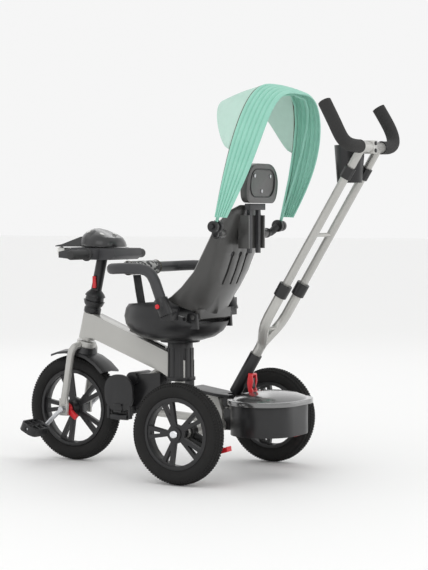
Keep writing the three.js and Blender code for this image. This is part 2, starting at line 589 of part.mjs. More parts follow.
// Bucket pan: rounded nose, raised sides, cone down to the swivel.
function seatPan() {
  const bowl = bulge(20, 10);
  bowl.scale(PAN_HALF, PAN_LEN, 66);
  move(bowl, 0, PAN_Y, PAN_Z);
  const hollow = bulge(18, 9);
  hollow.scale(PAN_HALF - 9, PAN_LEN - 9, 52);
  move(hollow, 0, PAN_Y, PAN_Z + 6);
  const lopTop = side([[-500, 424], [-286, 424], [-250, 434], [-110, 446], [60, 447], [60, 700], [-500, 700]], 400);
  const cone = move(turned([[0, 0], [POST_R + 14, 0], [POST_R + 17, 8], [POST_R + 20, 26], [92, 52], [0, 52]], 32, 'z'),
    0, POST_Y, SEAT_BASE_Z + GAP);
  let body = cut(join(bowl, cone), hollow, lopTop);
  // cleared for the back and, higher up, for its wings as it reclines
  const back = side([[HINGE_Y - 30, 600], [HINGE_Y - 30, HINGE_Z + 6], [HINGE_Y - 17, HINGE_Z + 1],
    [HINGE_Y - 17, HINGE_Z - 8], [HINGE_Y - 4, HINGE_Z - 15], [60, HINGE_Z - 15], [60, 600]], 400);
  body = cut(body, back);
  for (const s of [1, -1]) {
    const ear = move(side([[HINGE_Y - 20, HINGE_Z - 30], [HINGE_Y + 14, HINGE_Z - 30], [HINGE_Y + 12, HINGE_Z + 8],
      [HINGE_Y - 2, HINGE_Z + 14], [HINGE_Y - 16, HINGE_Z + 8]], 9), s * (HINGE_HALF + 6), 0, 0);
    const shelf = move(block(40, 30, 22), s * (SIDE_X - 16), SOCKET[0] + 2, SOCKET[1] - 12);
    const sleeve = socketRod(SAFETY_R + 4, -12, 34, s);
    const housing = move(block(14, 18, 18), s * (SIDE_X + 20), ...buttonAt);
    body = body.add(solid(ear)).add(solid(shelf)).add(solid(sleeve)).add(solid(housing));
    body = cut(body, move(rodX(6 + GAP, 30, 14), s * (HINGE_HALF + 6), HINGE_Y, HINGE_Z));
    body = cut(body, socketRod(SAFETY_R + GAP, -GAP, 60, s), move(rodX(6.5, 9, 14), s * (SIDE_X + 23), ...buttonAt));
  }
  part('seat_pan', body, skin(BLACK, 0.46));
}

// Back profile from the hinge up: rear line [y, z], half width, wrap depth and how far the wing edge rises.
const BACK = [
  [-34, 410, 136, 76, 40], [-18, 438, 135, 78, 20], [4, 476, 133, 70, 6], [24, 522, 131, 52, 0], [40, 568, 129, 42, 0],
  [55, 618, 122, 32, 0], [63, 650, 106, 26, 0], [68, 676, 78, 18, 0], [70, 690, 44, 8, 0],
];
const BACK_WALL = 6;
// One line up the back at wrap angle t, set in from the rear face.
const backLine = (t, inner, levels) => levels.map(([y, z, a, b, lift]) => {
  const k = 1 - Math.cos(t);
  return [(a - inner) * Math.sin(t), y - b * k - inner, z + lift * k / 0.85];
});
function backShell() {
  const n = 10;
  const wall = BACK_WALL;
  const loop = [];
  for (let i = 0; i <= n; i++) loop.push(backLine(-1.42 + 2.84 * i / n, 0, BACK));
  for (let i = n; i >= 0; i--) loop.push(backLine(-1.42 + 2.84 * i / n, wall, BACK));
  let body = solid(loft(loop));
  // harness slots with round heads, and the recess above the hinge
  for (const x of [-36, 0, 36]) {
    const slot = spin(block(9, 60, 78), 'x', -18).translate(x, 20, 524);
    const head = spin(rodZ(8, 60, 10), 'x', 72).translate(x, 34, 566);
    body = cut(body, slot, head);
  }
  // guide behind the top for the headrest rails
  const guide = cut(solid(move(block(84, 30, 84), 0, 72, 622)), move(block(72, 40, 120), 0, 92.6, 622));
  body = body.add(guide);
  // hinge barrel with a pin at each end
  const web = move(block(2 * HINGE_HALF - 4, 18, 24), 0, HINGE_Y + 6, HINGE_Z + 8);
  body = body.add(solid(move(rodX(12, 2 * HINGE_HALF, 16), 0, HINGE_Y, HINGE_Z))).add(solid(web));
  body = body.add(solid(move(rodX(6, 2 * HINGE_HALF + 24, 14), 0, HINGE_Y, HINGE_Z)));
  for (const s of [1, -1]) {
    body = body.add(solid(move(rodX(12, 24, 14), s * 110, 44, 618)));
  }
  part('seat_back', body, skin(BLACK, 0.46));
}

// Canopy bracket: round knob outside, short arm back to the shell.
const KNOB_X = HOOP_HALF - 17;
function canopyBrackets() {
  for (const [s, n] of [[1, 'left'], [-1, 'right']]) {
    const elbow = (BACK_HALF - 2 + KNOB_X) / 2 + 1.5;
    const arm = pipe([[s * (BACK_HALF - 2), 46, 618], [s * elbow, 48, 618], [s * KNOB_X, PIVOT_Y, PIVOT_Z]],
      10, 10, 2, 10);
    const knob = move(rodX(16, 10, 20), s * KNOB_X, PIVOT_Y, PIVOT_Z);
    const pin = move(rodX(6, 28, 14), s * (KNOB_X + 16), PIVOT_Y, PIVOT_Z);
    const plate = move(rodX(13, 8, 14), s * (122.4 + 4), 44, 618);
    const body = join(arm, knob, pin, plate);
    part(`canopy_bracket_${n}`, cut(body, move(block(30, 80, 80), s * 107.4, 44, 618)), skin(BLACK, 0.45));
  }
}

function headrest() {
  const shape = new THREE.Shape();
  shape.moveTo(-56, -50);
  shape.lineTo(56, -50);
  shape.quadraticCurveTo(80, -46, 80, -14);
  shape.absarc(24, -6, 56, 0, Math.PI / 2, false);
  shape.absarc(-24, -6, 56, Math.PI / 2, Math.PI, false);
  shape.quadraticCurveTo(-80, -46, -56, -50);
  const plate = spin(slab(shape, 18, 8), 'x', 90);
  const dish = spin(slab(pad(120, 68, 30), 8, 6), 'x', 90).translate(0, 11, 0);
  const body = cut(solid(plate), dish);
  part('headrest', body.rotate([-4, 0, 0]).translate([0, 95, 745]), skin(BLACK, 0.5));
  // stem under the plate, carried on two flat rails that run in the guide
  let rails = solid(move(block(78, 16, 16), 0, 82, 685.4));
  for (const s of [1, -1]) rails = rails.add(solid(move(block(12, 9, 116), s * 22, 78, 626)));
  part('headrest_rails', rails, skin(0x7c7d80, 0.4, 0.3));
}

// Seat liner: one padded piece on the pan and one on the back.
function liners() {
  const cushion = bulge(18, 9);
  cushion.scale(PAN_HALF - 13, PAN_LEN - 13, 48);
  move(cushion, 0, PAN_Y, PAN_Z + 6);
  const above = move(block(400, 400, 100), 0, POST_Y, 430);
  const behind = move(block(400, 200, 200), 0, HINGE_Y + 76, 400);
  part('seat_pad', cut(solid(cushion), above, behind), skin(0x3a3b3e, 0.95));
  const rows = [];
  const levels = BACK.slice(1, 6);
  for (let i = 0; i <= 6; i++) rows.push(backLine(-0.66 + 1.32 * i / 6, BACK_WALL + 1.4, levels));
  for (let i = 6; i >= 0; i--) rows.push(backLine(-0.66 + 1.32 * i / 6, BACK_WALL + 17, levels));
  const b = loft(rows);
  part('back_pad', solid(b), skin(0x3a3b3e, 0.95));
}

// ---- canopy -------------------------------------------------------------
const CANOPY_TILT = [13, 22];
// Hoop point at angle t (0 left pivot, PI right pivot) on a hoop leaning back by tilt degrees.
const hoop = (t, tilt, grow = 0, low = 0) => {
  const c = Math.cos(t);
  const s = Math.sin(t);
  const x = (HOOP_HALF + grow) * Math.sign(c) * Math.abs(c) ** 0.6;
  const r = low + (HOOP_RISE + grow - low) * Math.abs(s) ** 0.8;
  const back = Math.max(tilt - CANOPY_TILT[0], 0) / 9;
  const full = back * (20 * (1 - r / HOOP_RISE) + 20 * Math.sin(Math.PI * Math.min(r / HOOP_RISE, 1)));
  return [x, PIVOT_Y + r * Math.sin(tilt * D) + full * (low > 20 ? 1 : 0), PIVOT_Z + r * Math.cos(tilt * D)];
};
const arch = (tilt, grow, low, n = 14) => {
  const list = [];
  for (let i = 0; i <= n; i++) list.push(hoop(Math.PI * i / n, tilt, grow, low));
  return list;
};

function canopyFrame() {
  let body = null;
  for (const tilt of [CANOPY_TILT[0] + 1, CANOPY_TILT[1] - 1]) {
    const g = solid(pipe(arch(tilt, -8, 12, 12), 3.2, 0.1, 1, 6));
    body = body ? body.add(g) : g;
  }
  for (const s of [1, -1]) {
    const hub = cut(solid(move(rodX(14, 12, 20), s * (HOOP_HALF + 0.5), PIVOT_Y, PIVOT_Z)),
      move(rodX(6 + GAP, 60, 14), s * HOOP_HALF, PIVOT_Y, PIVOT_Z));
    body = body.add(hub);
  }
  part('canopy_frame', body, skin(0x2b2c2e, 0.5));
}

// Fabric as one closed solid: stretched over the hoops, open at the back and below.
function canopyFabric() {
  const n = 20;
  const rows = [];
  const mid = (CANOPY_TILT[0] + CANOPY_TILT[1]) / 2;
  const ringOf = (tilt, grow) => arch(tilt, grow, 24, n);
  rows.push(ringOf(CANOPY_TILT[0] - 1, 0), ringOf(CANOPY_TILT[0], 3), ringOf(mid, 1), ringOf(CANOPY_TILT[1], 3),
    ringOf(CANOPY_TILT[1] + 1.5, 0), ringOf(CANOPY_TILT[1], -3), ringOf(mid, -3.5), ringOf(CANOPY_TILT[0], -2));
  return rows;
}
function canopyCover() {
  const body = loft(canopyFabric());
  part('canopy_fabric', solid(body), skin(MINT, 0.9));
  const n = 16;
  const rows = [];
  const peak = (reach, lift) => {
    const list = [];
    for (let i = 0; i <= n; i++) {
      const t = Math.PI * (0.14 + 0.72 * i / n);
      const w = Math.sin(Math.PI * i / n) ** 0.7 || 0;
      const p = hoop(t, CANOPY_TILT[0] - 1, lift, 24);
      list.push([p[0], p[1] - 1.2 - (reach * w + 1), p[2] - 0.3 * reach * w]);
    }
    return list;
  };
  rows.push(peak(0, 0), peak(50, 4), peak(108, -2), peak(108, -6), peak(50, 0), peak(0, -4));
  part('canopy_visor', solid(loft(rows)), skin(0xb9ebdc, 0.85));
}
// ---- safety bar ---------------------------------------------------------
const BAR_TOP = 526;
const BAR_FRONT = -262;
function safetyBar() {
  const half = (s) => [[s * SIDE_X, ...SOCKET], [s * SIDE_X, ...socketAt(112)], [s * SIDE_X, -190, BAR_TOP + 4],
    [s * SIDE_X, BAR_FRONT, BAR_TOP]];
  part('safety_bar', solid(pipe([...half(1), ...half(-1).reverse()], SAFETY_R, 40, 3, 12)), skin(0x77787b, 0.45, 0.1));
  const sleeve = cut(solid(move(rodX(SAFETY_R + 4, 138, 20), 0, BAR_FRONT, BAR_TOP)),
    move(rodX(SAFETY_R + 0.9, 160, 20), 0, BAR_FRONT, BAR_TOP));
  part('bar_sleeve', sleeve, skin(0x4a4a4c, 0.95));
  const strap = side([[-280, 506], [-277, 506], [-268, 460], [-262, 428], [-265, 427], [-272, 460]], 34);
  part('crotch_strap', solid(strap), skin(0x3c3c3e, 0.95));
  for (const [t, n] of [[1, 'left'], [-1, 'right']]) {
    const btn = move(rodX(6, 7, 14), t * (SIDE_X + 26), ...buttonAt);
    part(`bar_button_${n}`, solid(btn), skin(RED, 0.4));
  }
}

// ---- foot rests ---------------------------------------------------------
const REST_X = 66;
const REST_Z = 134;
function footRests() {
  const spine = move(block(2 * REST_X - 24, 26, 20), 0, -280, 150);
  const housing = side([[-294, 214], [-282, 242], [-236, 248], [-188, 250], [-188, 194], [-236, 168],
    [-262, 150], [-294, 150]], 56);
  const hinge = (s) => move(rodY(8, 52, 14), s * REST_X, -290, REST_Z);
  const knob = move(rodX(17, 80, 20), 0, -270, 234);
  const arm = (s) => move(block(34, 24, 16), s * (REST_X - 22), -284, 142);
  let body = join(spine, housing, hinge(1), hinge(-1), knob, arm(1), arm(-1));
  const beamLow = side([[-440, 341], [-408, 333.6], [-190, 253.6], [-130, 221.6], [-60, 163.6], [-60, 400], [-440, 400]],
    BEAM_W + 2 * GAP);
  body = cut(body, beamLow, pipe(STRUT, 11 + GAP, 40, 3, 10));
  for (const s of [1, -1]) body = cut(body, move(rodY(3.4, 70, 12), s * REST_X, -290, REST_Z));
  part('footrest_bracket', body, skin(BLACK, 0.5));
  for (const [s, n] of [[1, 'left'], [-1, 'right']]) {
    const plate = slab(pad(98, 88, 40), 8, 6);
    move(plate, 63, 0, 0);
    const clip = move(block(22, 24, 12), 24, 0, -5);
    const tongue = (y) => move(block(32, 8, 10), 12, y, 0);
    const pinY = rodY(3, 76, 12);
    let p = cut(join(plate, clip), move(block(12, 30, 4), 24, 0, -9));
    p = p.add(solid(tongue(33))).add(solid(tongue(-33))).add(solid(pinY));
    p = p.rotate([0, -88, 0]);
    if (s < 0) p = p.mirror([1, 0, 0]);
    part(`footrest_${n}`, p.translate([s * REST_X, -290, REST_Z]), skin(BLACK, 0.5));
  }
}

frame();
rearAxle();
deckCover();
handleSocket();
handleYoke();
handleCollars();
handleTubes();
handleGrips();
cupHolder();
releaseLever();
storage();
postSleeve();
brakes();
rearWheels();
fork();
mudguard();
frontWheel();
cranks();
handlebar();
consoleUnit();
seatPan();
backShell();
canopyBrackets();
headrest();
liners();
canopyFrame();
canopyCover();
safetyBar();
footRests();

// Origin under the middle of the whole part, on the floor.
root.updateMatrixWorld(true);
const whole = new THREE.Box3().setFromObject(root, true);
root.position.set(0, -(whole.min.y + whole.max.y) / 2, -whole.min.z);

export default root;
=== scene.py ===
import json
import math

import bmesh
import bpy
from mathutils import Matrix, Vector


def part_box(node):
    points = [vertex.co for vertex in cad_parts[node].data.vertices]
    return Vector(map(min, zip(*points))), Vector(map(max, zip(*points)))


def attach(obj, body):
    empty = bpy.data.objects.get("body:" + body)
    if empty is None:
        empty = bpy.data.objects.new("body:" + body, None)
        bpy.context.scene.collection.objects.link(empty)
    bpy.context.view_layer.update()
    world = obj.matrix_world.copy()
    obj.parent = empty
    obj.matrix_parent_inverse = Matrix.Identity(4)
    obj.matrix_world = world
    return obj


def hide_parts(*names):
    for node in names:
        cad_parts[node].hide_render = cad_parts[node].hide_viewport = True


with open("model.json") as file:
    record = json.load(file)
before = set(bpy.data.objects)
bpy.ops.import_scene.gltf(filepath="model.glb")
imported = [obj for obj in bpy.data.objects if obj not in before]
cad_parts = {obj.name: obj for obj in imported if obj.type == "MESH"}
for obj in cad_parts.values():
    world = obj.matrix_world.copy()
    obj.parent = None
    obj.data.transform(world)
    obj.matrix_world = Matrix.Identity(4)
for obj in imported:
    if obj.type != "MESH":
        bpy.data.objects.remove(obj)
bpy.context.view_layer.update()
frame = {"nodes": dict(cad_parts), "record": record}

# The room: a pale seamless floor and four large soft lamps round the tricycle.
# The camera stands behind and to the rider's left, a little above the axles.
bpy.ops.object.select_all(action="DESELECT")
bpy.ops.mesh.primitive_plane_add(size=80, location=(0, 0, -0.0005))
floor = bpy.context.object
floor.name = "floor"
floor_paint = bpy.data.materials.new("pale_floor")
floor_paint.use_nodes = True
floor_face = floor_paint.node_tree.nodes["Principled BSDF"]
floor_face.inputs["Base Color"].default_value = (0.95, 0.95, 0.945, 1)
floor_face.inputs["Roughness"].default_value = 0.75
floor.data.materials.append(floor_paint)

room = bpy.data.worlds.new("room")
room.use_nodes = True
room.node_tree.nodes["Background"].inputs["Color"].default_value = (1, 1, 1, 1)
room.node_tree.nodes["Background"].inputs["Strength"].default_value = 0.92
bpy.context.scene.world = room
bpy.context.scene.view_settings.view_transform = "Standard"


def soft_lamp(name, place, size, watts):
    light = bpy.data.lights.new(name, "AREA")
    light.size = size
    light.energy = watts
    lamp = bpy.data.objects.new(name, light)
    lamp.location = place
    lamp.rotation_euler = (Vector((0, 0, 0.45)) - Vector(place)).to_track_quat("-Z", "Y").to_euler()
    bpy.context.scene.collection.objects.link(lamp)


soft_lamp("lamp_left", (3.2, 0.6, 2.8), 2.4, 16)
soft_lamp("lamp_rear", (0.8, 3.6, 2.2), 2.0, 11)
soft_lamp("lamp_front", (-2.6, -2.4, 2.6), 2.4, 8)
soft_lamp("lamp_right", (-2.9, 3.0, 1.3), 2.8, 12)

camera_data = bpy.data.cameras.new("camera")
camera_data.lens = 109.1
camera_data.sensor_width = 36
camera = bpy.data.objects.new("camera", camera_data)
camera.location = (3.8198, 2.3551, 0.6653)
aim = Vector((0, 0.0599, 0.484)) - camera.location
camera.rotation_euler = aim.to_track_quat("-Z", "Y").to_euler()
bpy.context.scene.collection.objects.link(camera)
bpy.context.scene.camera = camera


# Main frame, fork, yoke and push tubes: steel tube, welded and lacquered satin silver.
# The lacquer has a faint orange peel and a little unevenness in its gloss.
# Field and Finish write shader maths and materials, and are used by every section below.
class Field:
    """A shader socket that adds Math nodes when it is used in an expression."""

    def __init__(self, finish, socket):
        self.finish = finish
        self.socket = socket

    def maths(self, operation, first, second=0.0):
        return self.finish.node("ShaderNodeMath", {"operation": operation}, {0: first, 1: second})

    def __add__(self, other):
        return self.maths("ADD", self, other)

    def __radd__(self, other):
        return self.maths("ADD", other, self)

    def __mul__(self, other):
        return self.maths("MULTIPLY", self, other)

    def __rmul__(self, other):
        return self.maths("MULTIPLY", other, self)

    def sine(self):
        return self.maths("SINE", self)

    def above(self, level):
        return self.maths("GREATER_THAN", self, level)


class Finish:
    """One material, with a Principled shader whose fixed values are set on its own sockets."""

    def __init__(self, name, colour, roughness, **fixed):
        self.material = bpy.data.materials.new(name)
        self.material.use_nodes = True
        self.tree = self.material.node_tree
        self.shader = self.tree.nodes["Principled BSDF"]
        self.set("Base Color", (*colour, 1))
        self.set("Roughness", roughness)
        for socket, value in fixed.items():
            self.set(socket.replace("_", " "), value)

    def set(self, socket, value):
        if isinstance(value, Field):
            self.tree.links.new(value.socket, self.shader.inputs[socket])
        else:
            self.shader.inputs[socket].default_value = value

    def node(self, kind, settings, inputs, output=0):
        made = self.tree.nodes.new(kind)
        for key, value in settings.items():
            setattr(made, key, value)
        for key, value in inputs.items():
            if isinstance(value, Field):
                self.tree.links.new(value.socket, made.inputs[key])
            else:
                made.inputs[key].default_value = value
        return Field(self, made.outputs[output])

    def place(self):
        return self.node("ShaderNodeTexCoord", {}, {}, "Object")

    def axis(self, name):
        return self.node("ShaderNodeSeparateXYZ", {}, {0: self.place()}, name)

    def noise(self, scale, detail=3.0):
        return self.node(
            "ShaderNodeTexNoise", {}, {"Vector": self.place(), "Scale": scale, "Detail": detail}, "Fac")

    def cells(self, scale):
        return self.node("ShaderNodeTexVoronoi", {}, {"Vector": self.place(), "Scale": scale}, "Distance")

    def tint(self, amount, dark, light):
        colours = {0: amount, 6: (*dark, 1), 7: (*light, 1)}
        self.set("Base Color", self.node("ShaderNodeMix", {"data_type": "RGBA"}, colours, 2))

    def bump(self, height, strength, distance):
        self.set("Normal", self.node(
            "ShaderNodeBump", {}, {"Height": height, "Strength": strength, "Distance": distance}))


silver = Finish(
    "silver_lacquer", (0.66, 0.65, 0.62), 0.3, Metallic=0.45, Coat_Weight=0.35, Coat_Roughness=0.12)
silver.set("Roughness", 0.26 + 0.12 * silver.noise(14))
silver.tint(silver.noise(6), (0.43, 0.425, 0.405), (0.53, 0.525, 0.5))
silver.bump(silver.noise(420, 2.0), 0.06, 0.0004)

body_of = {n: b for b, ns in frame["record"]["behaviour"]["bodies"].items() for n in ns}
slot_of = {s["node"]: s["material_slot"] for s in frame["record"]["subparts"]}


SAME_POINT = 0.00001


def taken_up(piece):
    """Links a new piece to the scene and makes it the only one selected."""
    bpy.context.scene.collection.objects.link(piece)
    bpy.ops.object.select_all(action="DESELECT")
    piece.select_set(True)
    bpy.context.view_layer.objects.active = piece
    return piece


def bevelled(piece, width, segments, sharp):
    """Rounds the active piece's edges that are sharper than an angle in degrees."""
    soften = piece.modifiers.new("soften", "BEVEL")
    soften.width = width
    soften.segments = segments
    soften.limit_method = "ANGLE"
    soften.angle_limit = math.radians(sharp)
    bpy.ops.object.modifier_apply(modifier=soften.name)


def plain_copy(node, name):
    """A copy of a CAD node's mesh with its doubled points merged, selected, and free of the node's marks."""
    piece = frame["nodes"][node].copy()
    piece.data = piece.data.copy()
    piece.name = name
    for key in list(piece.keys()):
        del piece[key]
    piece.parent = None
    taken_up(piece)
    bpy.ops.object.mode_set(mode="EDIT")
    bpy.ops.mesh.select_all(action="SELECT")
    bpy.ops.mesh.remove_doubles(threshold=SAME_POINT)
    bpy.ops.object.mode_set(mode="OBJECT")
    return piece


def finished(node, finish, edge=0.0006, sharp=35):
    """A merged, softly edged copy of a CAD node, in its finish, standing for that node."""
    piece = plain_copy(node, node + "_piece")
    bpy.ops.object.mode_set(mode="EDIT")
    bpy.ops.mesh.select_all(action="SELECT")
    bpy.ops.mesh.dissolve_limited(angle_limit=math.radians(1))
    bpy.ops.object.mode_set(mode="OBJECT")
    bevelled(piece, edge, 2, sharp)
    bpy.ops.object.shade_smooth_by_angle(angle=math.radians(sharp))
    piece.data.materials.clear()
    piece.data.materials.append(finish.material)
    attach(piece, body_of[node])
    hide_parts(node)
    return piece


for node in ("frame_main", "fork", "handle_yoke", "handle_tubes"):
    finished(node, silver)

# Axle rod and crank: steel rod, dull zinc plated after it is cut and bent.
# The rod runs through the axle tube, and the crank through the front hub.
zinc = Finish("zinc_plate", (0.6, 0.61, 0.63), 0.34, Metallic=1.0)
zinc.set("Roughness", 0.26 + 0.2 * zinc.noise(60))
zinc.bump(zinc.noise(600), 0.08, 0.0002)
for node in ("rear_axle", "crank"):
    finished(node, zinc)

# Axle caps: domed caps pressed from thin steel and chromed.
# Each is pushed over the end of the axle rod.
chrome = Finish("chrome", (0.8, 0.81, 0.83), 0.08, Metallic=1.0)
chrome.set("Roughness", 0.06 + 0.06 * chrome.noise(40))
for node in ("hub_cap_left", "hub_cap_right"):
    finished(node, chrome)

# Black mouldings: seat pan, rims, mudguard, covers and brackets, in polypropylene.
# They come from spark-eroded moulds, so their faces have a fine even grain.
black = Finish("black_moulding", (0.012, 0.012, 0.013), 0.44)
black.set("Roughness", 0.27 + 0.14 * black.noise(25))
black.tint(black.noise(9), (0.009, 0.009, 0.01), (0.015, 0.015, 0.016))
black.bump(black.cells(1400), 0.16, 0.0002)
for node, slot in slot_of.items():
    if slot == "black" and node not in ("seat_back", "headrest"):
        finished(node, black)

# Seat post core: the upright steel tube of the frame inside the ribbed sleeve.
# Its faces inside the sleeve take the black moulding as painted shade, so the tube doesn't shine through the
# sleeve's slots.
POST_Y = -0.041
POST_REACH = 0.036
POST_FOOT = 0.225
shaded_post_core = bpy.data.objects["frame_main_piece"]
shaded_post_core.data.materials.append(black.material)
for face in shaded_post_core.data.polygons:
    x, y, z = face.center
    if abs(x) < POST_REACH and abs(y - POST_Y) < POST_REACH and z > POST_FOOT:
        face.material_index = 1

# Seat back and headrest shells: the same plastic from a smoother mould.
# Their satin surface is a little lighter where it catches light, and their base colour is set lighter than
# the black moulding's as a painted sheen; its tone varies at random.
shell = Finish("satin_shell_painted_sheen", (0.04, 0.0395, 0.038), 0.36, Coat_Weight=0.5, Coat_Roughness=0.3)
shell.set("Roughness", 0.3 + 0.12 * shell.noise(20))
shell.tint(shell.noise(7), (0.032, 0.0315, 0.03), (0.05, 0.049, 0.047))
shell.bump(shell.cells(1400), 0.14, 0.0002)
for node in ("seat_back", "headrest"):
    finished(node, shell)

# Storage lid: the same plastic from a polished mould, hinged over the tub.
# It mirrors what stands round it, a little blurred.
gloss = Finish(
    "black_polished", (0.05, 0.05, 0.05), 0.24, Coat_Weight=1.0, Coat_Roughness=0.16, Coat_IOR=2.3)
gloss.set("Roughness", 0.2 + 0.1 * gloss.noise(18))
gloss.bump(gloss.noise(60), 0.02, 0.0002)
finished("storage_lid", gloss)

# Console screen: a domed cover of smoked acrylic over a black moulding.
# It is snapped onto the console's tray.
smoked = Finish("smoked_acrylic", (0.01, 0.01, 0.011), 0.3, Coat_Weight=0.5, Coat_Roughness=0.12)
smoked.set("Roughness", 0.26 + 0.1 * smoked.noise(20))
smoked.bump(smoked.noise(80), 0.03, 0.0002)
finished("console_dial", smoked)

# Console tray, headrest rails and safety bar: dark grey plastic, a little lighter than the shells.
# They are moulded with the same fine grain.
grey = Finish("grey_moulding", (0.045, 0.045, 0.048), 0.42, Specular_IOR_Level=0.4)
grey.set("Roughness", 0.36 + 0.14 * grey.noise(30))
grey.bump(grey.cells(1200), 0.12, 0.0002)
for node in ("console_tray", "headrest_rails", "safety_bar"):
    finished(node, grey)

# Levers, buttons and the clutch knob: what is pressed or pulled is moulded in red ABS.
# Each is pinned or clipped into the part that it works.
red = Finish("red_moulding", (0.62, 0.012, 0.02), 0.32, Coat_Weight=0.15)
red.set("Roughness", 0.28 + 0.1 * red.noise(30))
red.bump(red.noise(500), 0.05, 0.0002)
for node, slot in slot_of.items():
    if slot == "red" and not node.startswith("brake_pedal"):
        finished(node, red)

# Brake pedals: one lever on each end of the axle tube, moulded black along its arm.
# The foot plate behind the axle is overmoulded in red.
FOOT_PLATE_Y = 0.172
pedal_red = Finish("pedal_red", (0.62, 0.012, 0.02), 0.36)
pedal_red.tint(pedal_red.axis("Y").above(FOOT_PLATE_Y), (0.02, 0.02, 0.02), (0.6, 0.014, 0.022))
pedal_red.bump(pedal_red.cells(1200), 0.1, 0.0002)
for node in ("brake_pedal_left", "brake_pedal_right"):
    finished(node, pedal_red)

# Handlebar grips: soft black rubber, pushed over the bar's ends.
# They have a fine moulded texture.
rubber = Finish("grip_rubber", (0.028, 0.028, 0.028), 0.62)
rubber.set("Roughness", 0.56 + 0.14 * rubber.noise(40))
rubber.bump(rubber.cells(900), 0.3, 0.0003)
for node in ("grip_left", "grip_right"):
    finished(node, rubber)

# Push handle horns: dense grey-black foam with open pores, slid over two bent tubes.
# Each starts at the silver clamp, runs outwards and sweeps up and forwards.
CLAMP_Y = 0.5055
CLAMP_Z = 0.8305
HORN_PATH = (
    (0.0643, CLAMP_Y, CLAMP_Z), (0.104, CLAMP_Y, CLAMP_Z), (0.143, 0.503, 0.838),
    (0.154, 0.492, 0.872), (0.151, 0.473, 0.905), (0.148, 0.4555, 0.9345))
foam = Finish("handle_foam", (0.03, 0.0295, 0.029), 0.9)
foam.tint(foam.noise(300), (0.018, 0.0178, 0.0174), (0.036, 0.0355, 0.035))
foam.bump(foam.cells(1100), 0.5, 0.0006)


def tube_along(name, points, radius, sides, kind):
    """A closed round tube along points, straight from one to the next (POLY) or on one curve (NURBS)."""
    line = bpy.data.curves.new(name, "CURVE")
    line.dimensions = "3D"
    line.bevel_depth = radius
    line.bevel_resolution = sides
    line.use_fill_caps = True
    run = line.splines.new(kind)
    run.points.add(len(points) - 1)
    for spot, point in zip(run.points, points):
        spot.co = (*point, 1)
    if kind == "NURBS":
        run.order_u = 4
        run.use_endpoint_u = True
        run.resolution_u = 14
    taken_up(bpy.data.objects.new(name, line))
    bpy.ops.object.convert(target="MESH")
    return bpy.context.object


for side, hand in ((1, "left"), (-1, "right")):
    horn = tube_along(f"handle_foam_{hand}", [(side * x, y, z) for x, y, z in HORN_PATH], 0.0163, 7, "NURBS")
    bevelled(horn, 0.004, 3, 60)
    bpy.ops.object.shade_smooth_by_angle(angle=math.radians(50))
    horn.data.materials.append(foam.material)
    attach(horn, body_of[f"handle_grip_{hand}"])
    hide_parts(f"handle_grip_{hand}")

# Headlight nose: a lens of frosted polycarbonate, clipped into the front of the console.
# It has fine ribs inside.
frosted = Finish("frosted_lens", (0.78, 0.78, 0.75), 0.3, Coat_Weight=0.5)
ribs = frosted.node("ShaderNodeTexWave", {}, {"Vector": frosted.place(), "Scale": 90.0}, "Fac")
frosted.bump(ribs, 0.2, 0.0004)
finished("headlight", frosted)

# Tyres: air-filled rubber, stretched onto each rim, with five staggered rows of small tread blocks.
# The carcass is a ring of oval section, and each block narrows towards its top.
TREAD_ROWS = 5
CARCASS_INSET = 0.0016
BLOCK_PROUD = 0.0014
BLOCK_ROOT = 0.004
BLOCK_TAPER = 0.84
tread = Finish("tyre_rubber", (0.012, 0.012, 0.012), 0.72, Specular_IOR_Level=0.25)
tread.set("Roughness", 0.66 + 0.16 * tread.noise(80))
tread.tint(tread.noise(14), (0.009, 0.009, 0.009), (0.017, 0.0165, 0.016))
tread.bump(tread.noise(700), 0.2, 0.0003)


def tyre_piece(node):
    low, high = (Vector(c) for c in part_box(node))
    middle = (low + high) / 2
    outer = (high.z - low.z) / 2
    wide = (high.x - low.x) / 2
    deep = wide * 0.92
    bpy.ops.object.select_all(action="DESELECT")
    bpy.ops.mesh.primitive_torus_add(
        location=middle, rotation=(0, math.pi / 2, 0), major_segments=96, minor_segments=24,
        major_radius=outer - CARCASS_INSET - deep, minor_radius=deep)
    carcass = bpy.context.object
    carcass.name = node + "_piece"
    bpy.ops.object.transform_apply(location=True, rotation=True, scale=True)
    bpy.ops.object.mode_set(mode="EDIT")
    bpy.ops.mesh.select_all(action="SELECT")
    bpy.ops.transform.resize(value=(wide / deep, 1, 1), center_override=middle)
    bpy.ops.object.mode_set(mode="OBJECT")
    bpy.ops.object.shade_smooth()
    blocks = bmesh.new()
    blocks.from_mesh(carcass.data)
    around = 104 if outer < 0.135 else 116
    for row in range(TREAD_ROWS):
        across = (row - (TREAD_ROWS - 1) / 2) * wide * 0.36
        sag = deep * (1 - math.sqrt(max(0.0, 1 - (across / wide) ** 2)))
        for step in range(around):
            turn = 2 * math.pi * (step + 0.5 * (row % 2)) / around
            reach = outer - CARCASS_INSET - sag
            long = 2 * math.pi * outer / around * 0.62
            block = bmesh.ops.create_cube(blocks, size=1)["verts"]
            for corner in block:
                out = corner.co.z > 0
                trim = BLOCK_TAPER if out else 1.0
                side = corner.co.x * wide * 0.27 * trim + across
                along = corner.co.y * long * trim
                height = reach + (BLOCK_PROUD if out else -BLOCK_ROOT)
                corner.co = middle + Vector((
                    side,
                    math.cos(turn) * height - math.sin(turn) * along,
                    math.sin(turn) * height + math.cos(turn) * along))
    bmesh.ops.recalc_face_normals(blocks, faces=blocks.faces)
    blocks.to_mesh(carcass.data)
    blocks.free()
    carcass.data.materials.append(tread.material)
    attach(carcass, body_of[node])
    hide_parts(node)


for node in ("rear_tyre_left", "rear_tyre_right", "front_tyre"):
    tyre_piece(node)

